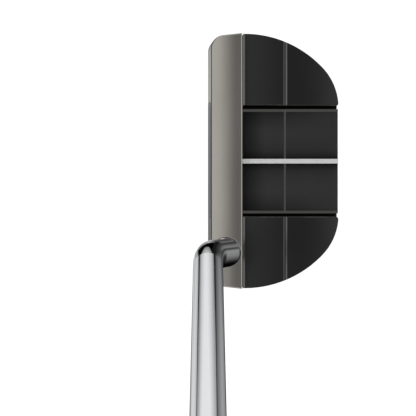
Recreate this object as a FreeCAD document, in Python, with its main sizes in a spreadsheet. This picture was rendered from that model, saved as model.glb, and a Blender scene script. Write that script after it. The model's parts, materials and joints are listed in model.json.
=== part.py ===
import FreeCAD, Part
import math
import os

import Sketcher

# Mallet putter at address.  Frame: +Z up, ground at z = 0, the face looks toward -Y, the toe
# is on -X and the heel (player) side on +X.  Head parts are drawn with y measured back from
# the leading edge and are then set back so that the frame origin lies on the sole, under the
# middle of the sight line.

V = FreeCAD.Vector
doc = FreeCAD.newDocument("mallet_putter")

# ---------------------------------------------------------------- driving dimensions (mm, deg)
SIZES = (
    ("origin_back", 25.3, "leading edge to the frame origin"),
    ("head_height", 25.0, "ground to the crown of the top rail"),
    ("plate_top", 3.0, "top of the sole plate"),
    ("face_loft", 3.1, "backward lean of the face"),
    ("rail_back", 13.1, "leading edge to the rear of the top rail"),
    ("rail_front_half", 47.55, "half width of the front block at the leading edge"),
    ("rail_rear_half", 49.1, "half width of the front block at its rear"),
    ("rail_corner", 5.0, "radius of the toe and heel corners of the face"),
    ("rail_crown", 22.0, "crown radius of the top rail"),
    ("rail_crown_y", 6.9, "highest line of the top rail"),
    ("rail_front_round", 0.5, "rounding of the upper face edge"),
    ("rail_edge_break", 0.35, "chamfer on the rear edge of the top rail"),
    ("insert_half", 22.5, "half width of the face insert"),
    ("insert_low", 1.8, "lower edge of the insert, up the face"),
    ("insert_high", 20.2, "upper edge of the insert, up the face"),
    ("insert_round", 3.0, "corner radius of the insert"),
    ("insert_soft", 3.0, "thickness of the soft striking layer"),
    ("insert_stiff", 2.0, "thickness of the backing layer"),
    ("insert_film", 0.2, "thickness of the adhesive film"),
    ("insert_proud", 0.12, "how far the insert stands out of the face"),
    ("insert_fit", 0.05, "clearance round the insert"),
    ("insert_rim", 0.25, "chamfer on the rim of the insert and of its pocket"),
    ("seam", 0.4, "gasket thickness between front block and rear bodies"),
    ("gasket_top", 15.5, "top of the gasket"),
    ("gasket_half", 48.85, "half width of the gasket"),
    ("flank_centre_x", 6.81, "centre of the flank arc"),
    ("flank_centre_y", 14.1, "centre of the flank arc"),
    ("flank_radius", 42.08, "radius of the toe and heel flanks"),
    ("tail_radius", 22.0, "radius of the tail corners"),
    ("blend_angle", 46.0, "bearing at which flank and tail arcs meet"),
    ("wing_inner", 21.4, "inner edge of each wing"),
    ("wing_crown", 105.0, "crown radius of the wings, front to back"),
    ("wing_crown_y", 13.0, "highest line of the wings"),
    ("wing_top", 22.4, "height of the wings at their highest line"),
    ("wing_edge_round", 0.3, "rounding of the wing edges"),
    ("wing_front_wide", 0.7, "width of the bevel on the front edge of the wings"),
    ("wing_front_drop", 0.2, "depth of the bevel on the front edge of the wings"),
    ("wing_tail_round", 1.1, "corner radius at the tail of each wing"),
    ("slot_floor", 8.0, "height of the foot that closes each slot from below"),
    ("crease_y", 29.72, "line of the crease across the rear bodies"),
    ("crease_half", 0.75, "half width of the crease across the wings"),
    ("crease_slit", 0.17, "half width of the slit at the bottom of the crease"),
    ("crease_depth", 0.55, "depth of the front bevel of the crease"),
    ("crease_lip", 0.17, "depth of the shallow rear bevel of the crease"),
    ("slit_depth", 1.3, "depth of the slit at the bottom of the crease"),
    ("deck_half", 20.12, "half width of the centre deck"),
    ("deck_back", 50.2, "leading edge to the rear of the deck"),
    ("deck_floor", 15.9, "height of the deck floor"),
    ("deck_lip", 1.0, "width of the sloped lip along each side of the deck"),
    ("deck_lip_rise", 1.1, "rise of the lip toward the slot"),
    ("deck_crease_front", 0.35, "front edge of the deck crease, ahead of the crease line"),
    ("deck_crease_back", 0.3, "bottom of the deck crease, behind the crease line"),
    ("line_half", 0.87, "half width of the sight line"),
    ("line_foot", 13.0, "bottom of the slot that holds the sight line"),
    ("line_top", 18.8, "top of the sight line"),
    ("line_start", 13.12, "front end of the sight line"),
    ("line_groove_half", 0.3, "half width of the groove along the sight line"),
    ("line_groove_cut", 0.15, "depth of the groove along the sight line"),
    ("plate_inset", 1.4, "how far the sole plate stays inside the bodies"),
    ("plate_front", 1.8, "leading edge to the front of the sole plate"),
    ("plate_front_half", 46.2, "half width of the sole plate at its front"),
    ("sole_flat_half", 30.0, "half width of the flat of the sole"),
    ("sole_rise", 2.5, "upward slope of the sole toward toe and heel"),
    ("sole_break", 0.8, "chamfer round the bottom of the sole plate"),
    ("screw_shank", 4.0, "sole screw diameter"),
    ("screw_pass", 4.15, "clearance hole for a sole screw"),
    ("screw_head", 7.4, "sole screw head diameter"),
    ("screw_sink", 0.9, "screw head below the ground plane"),
    ("screw_tip", 8.8, "upper end of the sole screws"),
    ("screw_drill", 9.6, "upper end of the tapped holes"),
    ("screw_key", 2.5, "across flats of the screw socket"),
    ("screw_key_deep", 1.2, "depth of the screw socket"),
    ("block_screw_x", 20.0, "sole screws into the front block"),
    ("block_screw_y", 9.3, "sole screws into the front block"),
    ("deck_screw_front", 17.5, "front sole screw into the deck"),
    ("deck_screw_rear", 43.0, "rear sole screw into the deck"),
    ("wing_screw_x", 26.5, "sole screws into the wings"),
    ("wing_screw_front", 21.0, "front sole screw into each wing"),
    ("wing_screw_rear", 42.0, "rear sole screw into each wing"),
    ("bolt_x", 25.5, "joining screws, side to side"),
    ("bolt_z", 12.0, "joining screws, height"),
    ("bolt_shank", 3.5, "joining screw diameter"),
    ("bolt_pass", 3.65, "clearance hole for a joining screw"),
    ("bolt_head", 6.0, "joining screw head diameter"),
    ("bolt_bore", 6.15, "counterbore for the joining screw head"),
    ("bolt_head_long", 3.5, "length of the joining screw head"),
    ("bolt_seat", 26.0, "seat of the joining screw head"),
    ("bolt_tip", 7.3, "front end of the joining screws"),
    ("bolt_drill", 6.6, "front end of the tapped holes"),
    ("bolt_key", 3.0, "across flats of the joining screw socket"),
    ("pin_dia", 3.0, "dowel diameter"),
    ("pin_z", 10.5, "dowel height"),
    ("pin_reach", 5.0, "dowel length each side of the seam"),
    ("pin_outer_x", 43.5, "dowels into the wings"),
    ("pin_inner_x", 12.5, "dowels into the deck"),
    ("plug_x", 38.0, "sole weights, side to side"),
    ("plug_y", 25.0, "sole weights, front to back"),
    ("plug_dia", 14.0, "thread diameter of a sole weight"),
    ("plug_flange", 16.0, "flange diameter of a sole weight"),
    ("plug_opening", 16.1, "opening for a weight in the sole plate"),
    ("plug_face", 1.0, "underside of a sole weight"),
    ("plug_seat", 2.6, "upper side of the weight flange"),
    ("plug_top", 10.0, "upper end of a sole weight"),
    ("plug_bore_top", 10.4, "upper end of the weight bore"),
    ("plug_key", 6.0, "across flats of the weight socket"),
    ("plug_key_deep", 2.5, "depth of the weight socket"),
    ("shaft_x", 34.6, "shaft bore, side to side"),
    ("shaft_y", 7.0, "shaft bore, front to back"),
    ("tip_foot", 8.0, "lower end of the shaft"),
    ("tip_dia", 9.4, "diameter of the shaft spigot"),
    ("tip_bore", 9.7, "bore for the spigot"),
    ("shoulder_z", 20.2, "shoulder of the shaft and floor of the counterbore"),
    ("neck_dia", 10.45, "shaft diameter through the bends"),
    ("neck_hollow", 8.5, "bore of the shaft through the bends"),
    ("ferrule_dia", 10.9, "outside diameter of the ferrule ring"),
    ("ferrule_top", 24.35, "upper end of the ferrule ring"),
    ("bore_break", 0.2, "chamfer round the shaft counterbore"),
    ("first_bend_z", 58.0, "height of the first bend"),
    ("second_bend_z", 107.0, "height of the second bend"),
    ("first_bend_r", 60.0, "centre-line radius of the first bend"),
    ("second_bend_r", 58.0, "centre-line radius of the second bend"),
    ("lie_lean", 20.0, "lean of the shaft from upright"),
    ("shaft_run", 765.0, "second bend to the butt, along the shaft"),
    ("butt_dia", 15.24, "diameter of the butt"),
    ("butt_hollow", 14.34, "bore of the butt"),
    ("plug_height", 5.0, "length of the tip plug"),
    ("grip_long", 267.0, "grip length over the shaft"),
    ("grip_cap", 3.0, "thickness of the closed end of the grip"),
    ("tape_thick", 0.25, "thickness of the grip tape"),
    ("grip_vent", 1.6, "vent hole in the grip cap"),
    ("grip_corner", 2.5, "rounding beside the flat front of the grip"),
    ("grip_cap_round", 1.8, "taper at the closed end of the grip"),
    ("grip_rise_0", 0.0, "grip station 0, above the lower edge"),
    ("grip_radius_0", 9.9, "grip station 0, radius of the round back"),
    ("grip_flat_0", 9.1, "grip station 0, axis to the flat front"),
    ("grip_shift_0", 0.0, "grip station 0, offset of the round back"),
    ("grip_rise_1", 55.0, "grip station 1"),
    ("grip_radius_1", 11.2, "grip station 1"),
    ("grip_flat_1", 10.1, "grip station 1"),
    ("grip_shift_1", 0.2, "grip station 1"),
    ("grip_rise_2", 150.0, "grip station 2"),
    ("grip_radius_2", 12.3, "grip station 2"),
    ("grip_flat_2", 10.9, "grip station 2"),
    ("grip_shift_2", 0.7, "grip station 2"),
    ("grip_rise_3", 215.0, "grip station 3"),
    ("grip_radius_3", 13.9, "grip station 3"),
    ("grip_flat_3", 11.4, "grip station 3"),
    ("grip_shift_3", 1.7, "grip station 3"),
    ("grip_rise_4", 267.0, "grip station 4"),
    ("grip_radius_4", 14.4, "grip station 4"),
    ("grip_flat_4", 11.8, "grip station 4"),
    ("grip_shift_4", 2.0, "grip station 4"),
)

sheet = doc.addObject("Spreadsheet::Sheet", "dims")
for row, (alias, value, note) in enumerate(SIZES, 1):
    sheet.set(f"A{row}", alias)
    sheet.set(f"B{row}", str(value))
    sheet.setAlias(f"B{row}", alias)
    sheet.set(f"C{row}", note)
doc.recompute()

PARTS = []


def size(text):
    """Value of an expression written in terms of the sheet's cells."""
    return float(sheet.evalExpression(text))


# ---------------------------------------------------------------- sketch helpers
def pin_point(sketch, geometry, end, x_text, y_text):
    """Hold a point of the sketch at a position given by two expressions."""
    for kind, text in (("DistanceX", x_text), ("DistanceY", y_text)):
        index = sketch.addConstraint(Sketcher.Constraint(kind, -1, 1, geometry, end, size(text)))
        sketch.setExpression(f"Constraints[{index}]", text)


def arc_middle(start, end, radius, turn):
    """Middle of the shorter arc from start to end; turn is +1 to the left, -1 to the right."""
    chord = end - start
    sagitta = radius - math.sqrt(radius ** 2 - (chord.Length / 2) ** 2)
    right = V(chord.y, -chord.x, 0).normalize()
    return (start + end) * 0.5 + right * sagitta * turn


def outline(sketch, corners):
    """Closed outline.  A corner is (x, y) or, where an arc leaves it, (x, y, radius, turn)."""
    places = [V(size(c[0]), size(c[1]), 0) for c in corners]
    ends = []
    for i, corner in enumerate(corners):
        start, end = places[i], places[(i + 1) % len(corners)]
        if len(corner) == 2:
            index = sketch.addGeometry(Part.LineSegment(start, end))
        else:
            middle = arc_middle(start, end, size(corner[2]), corner[3])
            index = sketch.addGeometry(Part.Arc(start, middle, end))
        forward = sketch.getPoint(index, 1).distanceToPoint(start) < 1e-6
        ends.append((index, 1, 2) if forward else (index, 2, 1))
    for i, (index, first, last) in enumerate(ends):
        following = ends[(i + 1) % len(ends)]
        join = Sketcher.Constraint("Coincident", index, last, following[0], following[1])
        sketch.addConstraint(join)
    for (index, first, last), corner in zip(ends, corners):
        pin_point(sketch, index, first, corner[0], corner[1])
        if len(corner) == 4:
            bend = sketch.addConstraint(Sketcher.Constraint("Radius", index, size(corner[2])))
            sketch.setExpression(f"Constraints[{bend}]", corner[2])


def box(sketch, left, right, low, high):
    """Rectangle between four expressions."""
    outline(sketch, [(left, low), (right, low), (right, high), (left, high)])


def circles(sketch, centres, diameter):
    """Equal circles at positions given by expressions."""
    for x_text, y_text in centres:
        centre = V(size(x_text), size(y_text), 0)
        index = sketch.addGeometry(Part.Circle(centre, V(0, 0, 1), size(diameter) / 2))
        pin_point(sketch, index, 3, x_text, y_text)
        ring = sketch.addConstraint(Sketcher.Constraint("Diameter", index, size(diameter)))
        sketch.setExpression(f"Constraints[{ring}]", diameter)


def hexagons(sketch, centres, across):
    """Equal hexagons at positions given by expressions, two flats upright."""
    for x_text, y_text in centres:
        corners = []
        for step in range(6):
            turn = f"{30 + 60 * step} * 1deg"
            reach = f"{across} / 2 / cos(30 * 1deg)"
            corners.append((f"{x_text} + {reach} * cos({turn})",
                            f"{y_text} + {reach} * sin({turn})"))
        outline(sketch, corners)


def sketch_on(body, name, role, lift="0"):
    """Sketch on one of the body's origin planes, moved along that plane's normal."""
    sketch = body.newObject("Sketcher::SketchObject", name)
    plane = next(f for f in body.Origin.OriginFeatures if f.Role == role)
    sketch.AttachmentSupport = [(plane, "")]
    sketch.MapMode = "FlatFace"
    sketch.setExpression("AttachmentOffset.Base.z", f"({lift}) * 1mm")
    return sketch


def plan(body, name, height):
    """Sketch seen from above, at a height."""
    return sketch_on(body, name, "XY_Plane", height)


def front(body, name, depth):
    """Sketch seen from the face side, at a distance behind the leading edge."""
    return sketch_on(body, name, "XZ_Plane", f"-({depth})")


def profile(body, name):
    """Sketch seen from the heel side: first axis runs back, second axis up."""
    return sketch_on(body, name, "YZ_Plane")


# ---------------------------------------------------------------- feature helpers
def new_body(label, x_text="0", y_text="0", pieces=1):
    """Body of one sub-part; x and y move its own axes within the head."""
    body = doc.addObject("PartDesign::Body", label)
    body.Label = label
    body.AllowCompound = pieces > 1
    body.setExpression("Placement.Base.x", f"({x_text}) * 1mm")
    body.setExpression("Placement.Base.y", f"({y_text} - dims.origin_back) * 1mm")
    PARTS.append((body, pieces))
    return body


def extrude(body, kind, sketch, length, both=False, back=False, taper=None):
    """Pad or Pocket of a sketch by a length given as an expression."""
    feature = body.newObject(f"PartDesign::{kind}", f"{sketch.Name}_{kind.lower()}")
    feature.Profile = sketch
    feature.AllowMultiFace = True
    feature.Midplane = both
    feature.Reversed = back
    feature.setExpression("Length", f"({length}) * 1mm")
    if taper is not None:
        feature.setExpression("TaperAngle", f"({taper}) * 1deg")
    doc.recompute()
    sketch.Visibility = False
    return feature


def pad(body, sketch, length, **options):
    return extrude(body, "Pad", sketch, length, **options)


def pocket(body, sketch, length, **options):
    return extrude(body, "Pocket", sketch, length, **options)


def spin(body, kind, sketch):
    """Revolution or Groove of a sketch about its upright axis."""
    feature = body.newObject(f"PartDesign::{kind}", f"{sketch.Name}_{kind.lower()}")
    feature.Profile = sketch
    feature.ReferenceAxis = (sketch, ["V_Axis"])
    feature.Angle = 360.0
    doc.recompute()
    return feature


def ease(body, kind, name, wanted, amount):
    """Fillet or Chamfer on the edges of the body's tip that the test accepts."""
    base = body.Tip
    names = [f"Edge{i}" for i, edge in enumerate(base.Shape.Edges, 1) if wanted(edge)]
    if not names:
        raise RuntimeError(f"{body.Label}: no edge found for {name}")
    feature = body.newObject(f"PartDesign::{kind}", name)
    feature.Base = (base, names)
    feature.setExpression("Radius" if kind == "Fillet" else "Size", f"({amount}) * 1mm")
    doc.recompute()
    return feature


def near(value, text, slack=0.02):
    """True where a coordinate agrees with an expression."""
    return abs(value - size(text)) < slack


def pair(x_text, y_text):
    """The same point on the toe side and on the heel side."""
    return [(f"-({x_text})", y_text), (x_text, y_text)]


# ---------------------------------------------------------------- shared positions
BLOCK_SCREWS = pair("dims.block_screw_x", "dims.block_screw_y")
DECK_SCREWS = [("0", "dims.deck_screw_front"), ("0", "dims.deck_screw_rear")]
WING_SCREWS = (pair("dims.wing_screw_x", "dims.wing_screw_front")
               + pair("dims.wing_screw_x", "dims.wing_screw_rear"))
BOLTS = pair("dims.bolt_x", "dims.bolt_z")
BLOCK_PINS = pair("dims.pin_outer_x", "dims.pin_z") + pair("dims.pin_inner_x", "dims.pin_z")
BODY_FRONT = "dims.rail_back + dims.seam"
HALF_TURN = ("acos(cos(atan(dims.shaft_y / (dims.second_bend_z - dims.first_bend_z)))"
             " * cos(dims.lie_lean * 1deg)) / 2")
TAIL_X = "(dims.flank_centre_x + (dims.flank_radius - dims.tail_radius)" \
         " * cos(dims.blend_angle * 1deg))"
TAIL_Y = "(dims.flank_centre_y + (dims.flank_radius - dims.tail_radius)" \
         " * sin(dims.blend_angle * 1deg))"


def face_point(up, deep):
    """Profile point given up the face from the leading edge and square into the head."""
    lean = "dims.face_loft * 1deg"
    y_text = f"({up}) * sin({lean}) + ({deep}) * cos({lean})"
    z_text = f"dims.plate_top + ({up}) * cos({lean}) - ({deep}) * sin({lean})"
    return (y_text, z_text)


def behind_face(edge):
    """Distance of an edge's middle behind the plane of the face."""
    lean = math.radians(size("dims.face_loft"))
    middle = edge.CenterOfMass
    return middle.y * math.cos(lean) - (middle.z - size("dims.plate_top")) * math.sin(lean)


def crown_height(top, radius, ridge, y_text):
    """Height of a crowned surface at a distance behind the leading edge."""
    return f"{top} - {radius} + sqrt({radius}^2 - ({y_text} - {ridge})^2)"


def cut_crown(body, name, top, radius, ridge, span):
    """Remove everything above a surface crowned front to back."""
    sketch = profile(body, name)
    start, end = "-2", "54"
    outline(sketch, [
        (end, crown_height(top, radius, ridge, end), radius, 1),
        (start, crown_height(top, radius, ridge, start)),
        (start, "dims.head_height + 8"),
        (end, "dims.head_height + 8"),
    ])
    pocket(body, sketch, span, both=True)


# ---------------------------------------------------------------- front block
def make_face_block():
    """Front block: lofted face, crowned top rail, insert pocket and shaft bore."""
    body = new_body("face_block")
    shape = plan(body, "block_plan", "dims.plate_top")
    outline(shape, [
        ("-dims.rail_front_half", "0"),
        ("dims.rail_front_half", "0"),
        ("dims.rail_rear_half", "dims.rail_back"),
        ("-dims.rail_rear_half", "dims.rail_back"),
    ])
    pad(body, shape, "dims.head_height")

    crown = profile(body, "block_crown")
    front_z = crown_height("dims.head_height", "dims.rail_crown", "dims.rail_crown_y", "-3")
    rear_z = crown_height("dims.head_height", "dims.rail_crown", "dims.rail_crown_y", "16")
    outline(crown, [
        ("16", rear_z, "dims.rail_crown", 1),
        ("-3", front_z),
        ("-3", "dims.head_height + 9"),
        ("16", "dims.head_height + 9"),
    ])
    pocket(body, crown, "2 * dims.rail_rear_half + 10", both=True)

    loft = profile(body, "block_loft")
    outline(loft, [
        face_point("-2", "0"),
        face_point("30", "0"),
        face_point("30", "-6"),
        face_point("-2", "-6"),
    ])
    pocket(body, loft, "2 * dims.rail_rear_half + 10", both=True)

    ease(body, "Fillet", "block_corners",
         lambda e: abs(e.CenterOfMass.x) > 46 and e.CenterOfMass.y < 2 and e.Length > 15,
         "dims.rail_corner")
    ease(body, "Chamfer", "rail_rear_edge",
         lambda e: near(e.CenterOfMass.y, "dims.rail_back") and e.CenterOfMass.z > 20
         and e.Length > 50,
         "dims.rail_edge_break")
    ease(body, "Fillet", "rail_front_edge",
         lambda e: e.CenterOfMass.y < 2 and e.CenterOfMass.z > 20 and e.Length > 50,
         "dims.rail_front_round")

    pocket_depth = "dims.insert_soft + dims.insert_stiff + dims.insert_film"
    recess = profile(body, "insert_recess")
    outline(recess, [
        face_point("dims.insert_low - dims.insert_fit", "-1"),
        face_point("dims.insert_low - dims.insert_fit", pocket_depth),
        face_point("dims.insert_high + dims.insert_fit", pocket_depth),
        face_point("dims.insert_high + dims.insert_fit", "-1"),
    ])
    pocket(body, recess, "2 * (dims.insert_half + dims.insert_fit)", both=True)
    ease(body, "Fillet", "recess_corners",
         lambda e: near(abs(e.CenterOfMass.x), "dims.insert_half + dims.insert_fit")
         and near(e.Length, pocket_depth, 0.05),
         "dims.insert_round + dims.insert_fit")
    ease(body, "Chamfer", "recess_rim",
         lambda e: abs(behind_face(e)) < 0.01 and abs(e.CenterOfMass.x) < 23
         and 3.5 < e.CenterOfMass.z < 23.6,
         "dims.insert_rim")

    bore = plan(body, "shaft_bore", "dims.tip_foot")
    circles(bore, [("dims.shaft_x", "dims.shaft_y")], "dims.tip_bore")
    pocket(body, bore, "dims.head_height", back=True)
    seat = plan(body, "ferrule_seat", "dims.shoulder_z")
    circles(seat, [("dims.shaft_x", "dims.shaft_y")], "dims.ferrule_dia")
    pocket(body, seat, "dims.head_height", back=True)
    ease(body, "Chamfer", "bore_edge",
         lambda e: e.CenterOfMass.z > 24 and near(e.CenterOfMass.x, "dims.shaft_x", 0.5)
         and e.Length > 20,
         "dims.bore_break")

    taps = plan(body, "block_taps", "dims.plate_top")
    circles(taps, BLOCK_SCREWS, "dims.screw_shank")
    pocket(body, taps, "dims.screw_drill - dims.plate_top", back=True)
    rear_taps = front(body, "block_rear_taps", "dims.rail_back")
    circles(rear_taps, BOLTS, "dims.bolt_shank")
    pocket(body, rear_taps, "dims.rail_back - dims.bolt_drill", back=True)
    pins = front(body, "block_pin_holes", "dims.rail_back")
    circles(pins, BLOCK_PINS, "dims.pin_dia")
    pocket(body, pins, "dims.pin_reach", back=True)
    return body


# ---------------------------------------------------------------- face insert
def insert_layer(label, near_face, far_face):
    """One rounded rectangular layer lying parallel to the face."""
    body = new_body(label)
    side = profile(body, f"{label}_side")
    outline(side, [
        face_point("dims.insert_low", near_face),
        face_point("dims.insert_low", far_face),
        face_point("dims.insert_high", far_face),
        face_point("dims.insert_high", near_face),
    ])
    pad(body, side, "2 * dims.insert_half", both=True)
    ease(body, "Fillet", f"{label}_corners",
         lambda e: near(abs(e.CenterOfMass.x), "dims.insert_half")
         and near(e.Length, f"{far_face} - ({near_face})"),
         "dims.insert_round")
    return body


def make_insert():
    """Soft striking layer, stiff backing layer and adhesive film."""
    soft = insert_layer("face_insert", "-dims.insert_proud", "dims.insert_soft")
    ease(soft, "Chamfer", "insert_edge",
         lambda e: near(behind_face(e), "-dims.insert_proud"), "dims.insert_rim")
    back = "dims.insert_soft + dims.insert_stiff"
    insert_layer("insert_core", "dims.insert_soft", back)
    insert_layer("insert_tape", back, f"{back} + dims.insert_film")


# ---------------------------------------------------------------- rear bodies
def rear_corner(side, inset, end_x=None):
    """Corners of the toe or heel flank, from the seam back to the tail arc's end."""
    radius = f"dims.flank_radius - {inset}"
    tail = f"dims.tail_radius - {inset}"
    start_y = f"({BODY_FRONT})"
    start_x = (f"dims.flank_centre_x + sqrt(({radius})^2"
               f" - ({start_y} - dims.flank_centre_y)^2)")
    blend_x = f"dims.flank_centre_x + ({radius}) * cos(dims.blend_angle * 1deg)"
    blend_y = f"dims.flank_centre_y + ({radius}) * sin(dims.blend_angle * 1deg)"
    end_x = end_x or TAIL_X
    end_y = f"{TAIL_Y} + sqrt(({tail})^2 - ({end_x} - {TAIL_X})^2)"
    return [
        (f"{side} * ({start_x})", start_y, radius, side),
        (f"{side} * ({blend_x})", blend_y, tail, side),
        (f"{side} * ({end_x})", end_y),
    ]


def make_wing(label, side):
    """Crowned black rear body; side is -1 at the toe and +1 at the heel."""
    body = new_body(label)
    shape = plan(body, f"{label}_plan", "dims.plate_top")
    outline(shape, rear_corner(side, "0", "dims.wing_inner")
            + [(f"{side} * dims.wing_inner", BODY_FRONT)])
    pad(body, shape, "dims.wing_top")
    ease(body, "Fillet", f"{label}_tail_corner",
         lambda e: near(abs(e.CenterOfMass.x), "dims.wing_inner") and e.CenterOfMass.y > 45
         and e.Length > 10 and len(e.Vertexes) == 2
         and abs(e.Vertexes[0].Y - e.Vertexes[1].Y) < 0.01,
         "dims.wing_tail_round")
    cut_crown(body, f"{label}_crown", "dims.wing_top", "dims.wing_crown", "dims.wing_crown_y",
              "140")
    ease(body, "Fillet", f"{label}_rim",
         lambda e: e.CenterOfMass.z > 15 and e.CenterOfMass.y > size(BODY_FRONT) + 1,
         "dims.wing_edge_round")

    front_top = crown_height("dims.wing_top", "dims.wing_crown", "dims.wing_crown_y",
                             BODY_FRONT)
    bevel = profile(body, f"{label}_front_bevel")
    wide, drop = "dims.wing_front_wide", "dims.wing_front_drop"
    outline(bevel, [
        (f"{BODY_FRONT} - {wide}", f"{front_top} - 2 * {drop}"),
        (f"{BODY_FRONT} + 2 * {wide}", f"{front_top} + {drop}"),
        (f"{BODY_FRONT} - {wide}", f"{front_top} + {drop}"),
    ])
    pocket(body, bevel, "140", both=True)

    ridge = crown_height("dims.wing_top", "dims.wing_crown", "dims.wing_crown_y",
                         "dims.crease_y")
    rear = crown_height("dims.wing_top", "dims.wing_crown", "dims.wing_crown_y",
                        "(dims.crease_y + dims.crease_half)")
    crease = profile(body, f"{label}_crease")
    outline(crease, [
        ("dims.crease_y - dims.crease_half", f"{ridge} + 0.02"),
        ("dims.crease_y - dims.crease_slit", f"{ridge} - dims.crease_depth"),
        ("dims.crease_y - dims.crease_slit", f"{ridge} - dims.slit_depth"),
        ("dims.crease_y + dims.crease_slit", f"{ridge} - dims.slit_depth"),
        ("dims.crease_y + dims.crease_slit", f"{rear} - dims.crease_lip"),
        ("dims.crease_y + dims.crease_half", f"{rear} + 0.005"),
        ("dims.crease_y + dims.crease_half", f"{ridge} + 1"),
        ("dims.crease_y - dims.crease_half", f"{ridge} + 1"),
    ])
    pocket(body, crease, "140", both=True)

    foot = plan(body, f"{label}_foot", "dims.plate_top")
    box(foot, f"{side} * dims.deck_half", f"{side} * (dims.wing_inner + dims.wing_tail_round)",
        BODY_FRONT, "dims.deck_back")
    pad(body, foot, "dims.slot_floor - dims.plate_top")

    taps = plan(body, f"{label}_taps", "dims.plate_top")
    circles(taps, [(f"{side} * dims.wing_screw_x", "dims.wing_screw_front"),
                   (f"{side} * dims.wing_screw_x", "dims.wing_screw_rear")],
            "dims.screw_shank")
    pocket(body, taps, "dims.screw_drill - dims.plate_top", back=True)
    plug = plan(body, f"{label}_plug_bore", "dims.plate_top")
    circles(plug, [(f"{side} * dims.plug_x", "dims.plug_y")], "dims.plug_dia")
    pocket(body, plug, "dims.plug_bore_top - dims.plate_top", back=True)

    passage = front(body, f"{label}_bolt_hole", BODY_FRONT)
    circles(passage, [(f"{side} * dims.bolt_x", "dims.bolt_z")], "dims.bolt_pass")
    pocket(body, passage, f"dims.bolt_seat - ({BODY_FRONT})")
    bore = front(body, f"{label}_bolt_bore", "dims.bolt_seat")
    circles(bore, [(f"{side} * dims.bolt_x", "dims.bolt_z")], "dims.bolt_bore")
    pocket(body, bore, "40")
    pin = front(body, f"{label}_pin_hole", BODY_FRONT)
    circles(pin, [(f"{side} * dims.pin_outer_x", "dims.pin_z")], "dims.pin_dia")
    pocket(body, pin, "dims.pin_reach")
    return body


def make_deck():
    """Recessed centre body: a sloped lip along each slot and a one-sided crease across."""
    body = new_body("centre_deck")
    lip_foot = "dims.deck_half - dims.deck_lip"
    section = front(body, "deck_section", "dims.deck_back")
    outline(section, [
        ("-dims.deck_half", "dims.plate_top"),
        ("dims.deck_half", "dims.plate_top"),
        ("dims.deck_half", "dims.deck_floor + dims.deck_lip_rise"),
        (lip_foot, "dims.deck_floor"),
        ("dims.line_half", "dims.deck_floor"),
        ("dims.line_half", "dims.line_foot"),
        ("-dims.line_half", "dims.line_foot"),
        ("-dims.line_half", "dims.deck_floor"),
        (f"-({lip_foot})", "dims.deck_floor"),
        ("-dims.deck_half", "dims.deck_floor + dims.deck_lip_rise"),
    ])
    pad(body, section, f"dims.deck_back - ({BODY_FRONT})")

    crease = profile(body, "deck_crease")
    lip = "dims.deck_lip_rise + 0.2"
    outline(crease, [
        ("dims.crease_y + dims.deck_crease_back",
         "dims.deck_floor - dims.deck_crease_front - dims.deck_crease_back"),
        ("dims.crease_y + dims.deck_crease_back + 0.1", f"dims.deck_floor + {lip}"),
        (f"dims.crease_y - dims.deck_crease_front - ({lip})", f"dims.deck_floor + {lip}"),
    ])
    pocket(body, crease, "2 * dims.deck_half + 4", both=True)

    taps = plan(body, "deck_taps", "dims.plate_top")
    circles(taps, DECK_SCREWS, "dims.screw_shank")
    pocket(body, taps, "dims.screw_drill - dims.plate_top", back=True)
    pins = front(body, "deck_pin_holes", BODY_FRONT)
    circles(pins, pair("dims.pin_inner_x", "dims.pin_z"), "dims.pin_dia")
    pocket(body, pins, "dims.pin_reach")
    return body


def make_sight_line():
    """White alignment rib seated in the slot of the deck."""
    body = new_body("sight_line")
    section = front(body, "line_section", "dims.deck_back")
    outline(section, [
        ("-dims.line_half", "dims.line_foot"),
        ("dims.line_half", "dims.line_foot"),
        ("dims.line_half", "dims.line_top"),
        ("dims.line_groove_half", "dims.line_top"),
        ("0", "dims.line_top - dims.line_groove_cut"),
        ("-dims.line_groove_half", "dims.line_top"),
        ("-dims.line_half", "dims.line_top"),
    ])
    pad(body, section, f"dims.deck_back - ({BODY_FRONT})")
    nose = front(body, "line_nose", f"{BODY_FRONT} + 1")
    box(nose, "-dims.line_half", "dims.line_half", "dims.gasket_top", "dims.line_top - 0.2")
    pad(body, nose, f"{BODY_FRONT} + 1 - dims.line_start")
    return body


def make_gasket():
    """Elastomer sheet between the front block and the rear bodies."""
    body = new_body("damping_gasket")
    sheet_face = front(body, "gasket_face", BODY_FRONT)
    box(sheet_face, "-dims.gasket_half", "dims.gasket_half", "dims.plate_top",
        "dims.gasket_top")
    pad(body, sheet_face, "dims.seam")
    holes = front(body, "gasket_bolt_holes", "dims.rail_back")
    circles(holes, BOLTS, "dims.bolt_pass")
    pocket(body, holes, "dims.seam")
    pins = front(body, "gasket_pin_holes", "dims.rail_back")
    circles(pins, BLOCK_PINS, "dims.pin_dia")
    pocket(body, pins, "dims.seam")
    return body


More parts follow.
